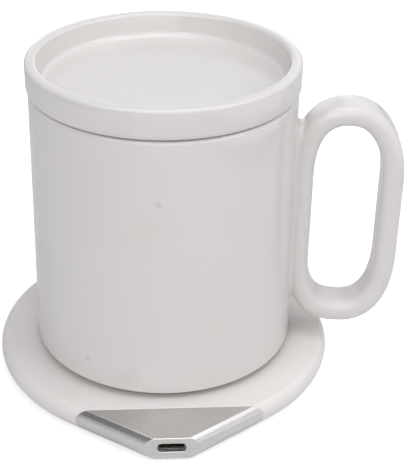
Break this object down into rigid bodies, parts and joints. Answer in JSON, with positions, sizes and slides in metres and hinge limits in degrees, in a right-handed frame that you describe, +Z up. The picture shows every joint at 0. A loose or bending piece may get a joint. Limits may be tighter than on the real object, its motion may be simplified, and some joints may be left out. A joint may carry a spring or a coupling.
{
  "type": "mug warmer with lidded mug",
  "caption": "Round desk pad with a pointed metal front and USB-C inlet, that warms a straight ceramic mug with an oval loop handle and a tray-shaped lid.",
  "frame": {"origin": "on the mug's axis, at the surface that the pad's silicone foot stands on", "axes": "+Z up along the mug's axis; the pad's point and its USB-C inlet face -Y; the mug's handle points along +X, turned 5.7 degrees from it towards -Y, as in the picture"},
  "size_m": [0.1375, 0.1228, 0.1115],
  "materials": {
    "white_glaze": "glossy",
    "disc_steel": "satin",
    "soft_touch_white": "matte",
    "blasted_aluminium": "satin",
    "inlet_plating": "satin",
    "black_plastic": "matte",
    "circuit_green": "satin",
    "chip_black": "matte",
    "ferrite_grey": "matte",
    "capacitor_tan": "satin",
    "coil_copper": "satin",
    "screw_steel": "satin",
    "foot_silicone": "matte"
  },
  "bodies": {
    "pad": {"pad_top_shell": "soft_touch_white", "pad_bottom_shell": "soft_touch_white", "nose_trim": "blasted_aluminium", "foot_pad": "foot_silicone", "usb_shell": "inlet_plating", "usb_tongue": "black_plastic", "main_board": "circuit_green", "controller_chip": "chip_black", "driver_chip": "chip_black", "power_inductor": "ferrite_grey", "resonant_capacitor_1": "capacitor_tan", "resonant_capacitor_2": "capacitor_tan", "resonant_capacitor_3": "capacitor_tan", "transmitter_coil": "coil_copper", "ferrite_sheet": "ferrite_grey", "coil_tray": "black_plastic", "thermistor": "black_plastic", "shell_screw_1": "screw_steel", "shell_screw_2": "screw_steel", "shell_screw_3": "screw_steel", "shell_screw_4": "screw_steel", "trim_screw_1": "screw_steel", "trim_screw_2": "screw_steel"},
    "mug": {"mug": "white_glaze", "heating_disc": "disc_steel"},
    "lid": {"lid": "white_glaze"}
  },
  "joints": [
    {"name": "mug_lift", "type": "slide", "parent": "pad", "child": "mug", "axis": [0, 0, 1], "range_m": [0, 0.12]},
    {"name": "lid_lift", "type": "slide", "parent": "mug", "child": "lid", "axis": [0, 0, 1], "range_m": [0, 0.09]}
  ]
}
